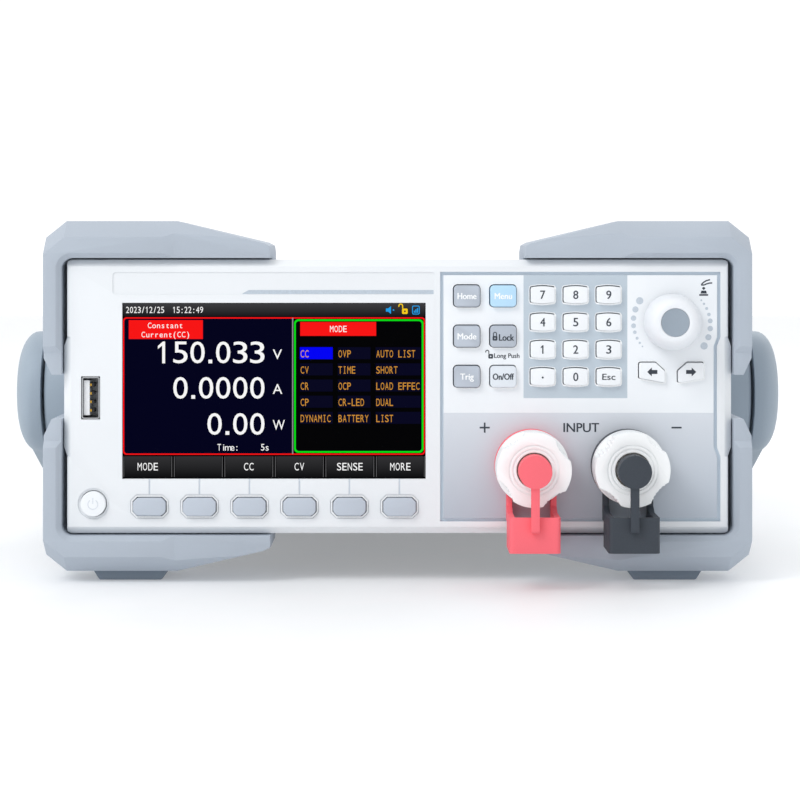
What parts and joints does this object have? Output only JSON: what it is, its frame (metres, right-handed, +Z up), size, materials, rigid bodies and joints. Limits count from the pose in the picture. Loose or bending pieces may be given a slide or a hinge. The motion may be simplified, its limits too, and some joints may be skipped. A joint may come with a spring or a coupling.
{
  "type": "dc electronic load",
  "caption": "Bench instrument with a colour screen, keypad, push knob, two binding posts under rubber covers, corner guards and a fold-under handle.",
  "frame": {"origin": "on the table, under the middle of the overall box", "axes": "+X to the right seen from the front, +Y to the rear, +Z up"},
  "size_m": [0.2608, 0.391, 0.1147],
  "materials": {
    "shell_white": "satin",
    "overlay": "satin",
    "screen": "gloss",
    "soft_key": "satin",
    "blue_key": "satin",
    "grey_key": "satin",
    "white_key": "satin",
    "knob": "satin",
    "knob_insert": "satin",
    "red_rubber": "matte",
    "black_rubber": "matte",
    "nut": "satin",
    "brass": "satin",
    "bright_metal": "satin",
    "case_paint": "fine texture",
    "sheet": "fine texture",
    "guard": "matte",
    "foot": "matte",
    "hub": "matte",
    "board": "satin",
    "dark_plastic": "satin",
    "heatsink": "satin"
  },
  "bodies": {
    "case": {"front_bezel": "shell_white", "control_overlay": "overlay", "lcd_module": "screen", "front_board": "board", "usb_socket": "bright_metal", "red_stud": "brass", "red_cover": "red_rubber", "black_stud": "brass", "black_cover": "black_rubber", "chassis": "sheet", "top_cover": "case_paint", "rear_panel": "sheet", "front_bumpers": "guard", "rear_bumpers": "guard", "feet": "foot", "handle_hubs": "hub", "fan_frame": "dark_plastic", "ac_inlet": "dark_plastic", "interface_card": "board", "heatsink": "heatsink", "main_board": "board", "screws": "bright_metal"},
    "encoder_shaft": {"encoder_shaft": "bright_metal"},
    "knob": {"knob": "knob", "knob_insert": "knob_insert"},
    "red_washer": {"red_washer": "bright_metal"},
    "red_nut": {"red_nut": "nut"},
    "red_plug": {"red_plug": "red_rubber"},
    "black_washer": {"black_washer": "bright_metal"},
    "black_nut": {"black_nut": "nut"},
    "black_plug": {"black_plug": "black_rubber"},
    "handle": {"handle": "hub"},
    "fan_rotor": {"fan_rotor": "dark_plastic"},
    "softkey_1": {"softkey_1": "soft_key"},
    "softkey_2": {"softkey_2": "soft_key"},
    "softkey_3": {"softkey_3": "soft_key"},
    "softkey_4": {"softkey_4": "soft_key"},
    "softkey_5": {"softkey_5": "soft_key"},
    "softkey_6": {"softkey_6": "soft_key"},
    "key_home": {"key_home": "grey_key"},
    "key_menu": {"key_menu": "blue_key"},
    "key_mode": {"key_mode": "grey_key"},
    "key_lock": {"key_lock": "grey_key"},
    "key_trig": {"key_trig": "grey_key"},
    "key_on_off": {"key_on_off": "grey_key"},
    "key_0": {"key_0": "white_key"},
    "key_1": {"key_1": "white_key"},
    "key_2": {"key_2": "white_key"},
    "key_3": {"key_3": "white_key"},
    "key_4": {"key_4": "white_key"},
    "key_5": {"key_5": "white_key"},
    "key_6": {"key_6": "white_key"},
    "key_7": {"key_7": "white_key"},
    "key_8": {"key_8": "white_key"},
    "key_9": {"key_9": "white_key"},
    "key_point": {"key_point": "white_key"},
    "key_esc": {"key_esc": "white_key"},
    "key_left": {"key_left": "white_key"},
    "key_right": {"key_right": "white_key"},
    "power_button": {"power_button": "white_key"}
  },
  "joints": [
    {"name": "knob_push", "type": "slide", "parent": "case", "child": "encoder_shaft", "axis": [0, 1, 0], "range_m": [0, 0.0008], "stiffness_N_per_m": 1500},
    {"name": "knob_turn", "type": "hinge", "parent": "encoder_shaft", "child": "knob", "pos_m": [0.0867, -0.1735, 0.08275], "axis": [0, -1, 0], "continuous": true},
    {"name": "red_washer_lift", "type": "slide", "parent": "case", "child": "red_washer", "axis": [0, -1, 0], "range_m": [0, 0.005]},
    {"name": "red_nut_turn", "type": "hinge", "parent": "red_washer", "child": "red_nut", "pos_m": [0.04225, -0.1795, 0.03725], "axis": [0, -1, 0], "range_deg": [0, 1440]},
    {"name": "red_plug_swing", "type": "hinge", "parent": "case", "child": "red_plug", "pos_m": [0.04225, -0.1938, 0.01945], "axis": [1, 0, 0], "range_deg": [0, 110]},
    {"name": "black_washer_lift", "type": "slide", "parent": "case", "child": "black_washer", "axis": [0, -1, 0], "range_m": [0, 0.005]},
    {"name": "black_nut_turn", "type": "hinge", "parent": "black_washer", "child": "black_nut", "pos_m": [0.07275, -0.1795, 0.03725], "axis": [0, -1, 0], "range_deg": [0, 1440]},
    {"name": "black_plug_swing", "type": "hinge", "parent": "case", "child": "black_plug", "pos_m": [0.07275, -0.1938, 0.01945], "axis": [1, 0, 0], "range_deg": [0, 110]},
    {"name": "handle_swing", "type": "hinge", "parent": "case", "child": "handle", "pos_m": [0, -0.0925, 0.057], "axis": [-1, 0, 0], "range_deg": [0, 310]},
    {"name": "fan_spin", "type": "hinge", "parent": "case", "child": "fan_rotor", "pos_m": [0.0576, 0.1725, 0.059], "axis": [0, 1, 0], "continuous": true},
    {"name": "softkey_1_press", "type": "slide", "parent": "case", "child": "softkey_1", "axis": [0, 1, 0], "range_m": [0, 0.0008], "stiffness_N_per_m": 600},
    {"name": "softkey_2_press", "type": "slide", "parent": "case", "child": "softkey_2", "axis": [0, 1, 0], "range_m": [0, 0.0008], "stiffness_N_per_m": 600},
    {"name": "softkey_3_press", "type": "slide", "parent": "case", "child": "softkey_3", "axis": [0, 1, 0], "range_m": [0, 0.0008], "stiffness_N_per_m": 600},
    {"name": "softkey_4_press", "type": "slide", "parent": "case", "child": "softkey_4", "axis": [0, 1, 0], "range_m": [0, 0.0008], "stiffness_N_per_m": 600},
    {"name": "softkey_5_press", "type": "slide", "parent": "case", "child": "softkey_5", "axis": [0, 1, 0], "range_m": [0, 0.0008], "stiffness_N_per_m": 600},
    {"name": "softkey_6_press", "type": "slide", "parent": "case", "child": "softkey_6", "axis": [0, 1, 0], "range_m": [0, 0.0008], "stiffness_N_per_m": 600},
    {"name": "key_home_press", "type": "slide", "parent": "case", "child": "key_home", "axis": [0, 1, 0], "range_m": [0, 0.0008], "stiffness_N_per_m": 600},
    {"name": "key_menu_press", "type": "slide", "parent": "case", "child": "key_menu", "axis": [0, 1, 0], "range_m": [0, 0.0008], "stiffness_N_per_m": 600},
    {"name": "key_mode_press", "type": "slide", "parent": "case", "child": "key_mode", "axis": [0, 1, 0], "range_m": [0, 0.0008], "stiffness_N_per_m": 600},
    {"name": "key_lock_press", "type": "slide", "parent": "case", "child": "key_lock", "axis": [0, 1, 0], "range_m": [0, 0.0008], "stiffness_N_per_m": 600},
    {"name": "key_trig_press", "type": "slide", "parent": "case", "child": "key_trig", "axis": [0, 1, 0], "range_m": [0, 0.0008], "stiffness_N_per_m": 600},
    {"name": "key_on_off_press", "type": "slide", "parent": "case", "child": "key_on_off", "axis": [0, 1, 0], "range_m": [0, 0.0008], "stiffness_N_per_m": 600},
    {"name": "key_0_press", "type": "slide", "parent": "case", "child": "key_0", "axis": [0, 1, 0], "range_m": [0, 0.0008], "stiffness_N_per_m": 600},
    {"name": "key_1_press", "type": "slide", "parent": "case", "child": "key_1", "axis": [0, 1, 0], "range_m": [0, 0.0008], "stiffness_N_per_m": 600},
    {"name": "key_2_press", "type": "slide", "parent": "case", "child": "key_2", "axis": [0, 1, 0], "range_m": [0, 0.0008], "stiffness_N_per_m": 600},
    {"name": "key_3_press", "type": "slide", "parent": "case", "child": "key_3", "axis": [0, 1, 0], "range_m": [0, 0.0008], "stiffness_N_per_m": 600},
    {"name": "key_4_press", "type": "slide", "parent": "case", "child": "key_4", "axis": [0, 1, 0], "range_m": [0, 0.0008], "stiffness_N_per_m": 600},
    {"name": "key_5_press", "type": "slide", "parent": "case", "child": "key_5", "axis": [0, 1, 0], "range_m": [0, 0.0008], "stiffness_N_per_m": 600},
    {"name": "key_6_press", "type": "slide", "parent": "case", "child": "key_6", "axis": [0, 1, 0], "range_m": [0, 0.0008], "stiffness_N_per_m": 600},
    {"name": "key_7_press", "type": "slide", "parent": "case", "child": "key_7", "axis": [0, 1, 0], "range_m": [0, 0.0008], "stiffness_N_per_m": 600},
    {"name": "key_8_press", "type": "slide", "parent": "case", "child": "key_8", "axis": [0, 1, 0], "range_m": [0, 0.0008], "stiffness_N_per_m": 600},
    {"name": "key_9_press", "type": "slide", "parent": "case", "child": "key_9", "axis": [0, 1, 0], "range_m": [0, 0.0008], "stiffness_N_per_m": 600},
    {"name": "key_point_press", "type": "slide", "parent": "case", "child": "key_point", "axis": [0, 1, 0], "range_m": [0, 0.0008], "stiffness_N_per_m": 600},
    {"name": "key_esc_press", "type": "slide", "parent": "case", "child": "key_esc", "axis": [0, 1, 0], "range_m": [0, 0.0008], "stiffness_N_per_m": 600},
    {"name": "key_left_press", "type": "slide", "parent": "case", "child": "key_left", "axis": [0, 1, 0], "range_m": [0, 0.0008], "stiffness_N_per_m": 600},
    {"name": "key_right_press", "type": "slide", "parent": "case", "child": "key_right", "axis": [0, 1, 0], "range_m": [0, 0.0008], "stiffness_N_per_m": 600},
    {"name": "power_button_press", "type": "slide", "parent": "case", "child": "power_button", "axis": [0, 1, 0], "range_m": [0, 0.0008], "stiffness_N_per_m": 600}
  ],
  "couplings": [
    {"joint": "red_nut_turn", "follows": "red_washer_lift", "rad_per_m": 5026.5},
    {"joint": "black_nut_turn", "follows": "black_washer_lift", "rad_per_m": 5026.5}
  ]
}
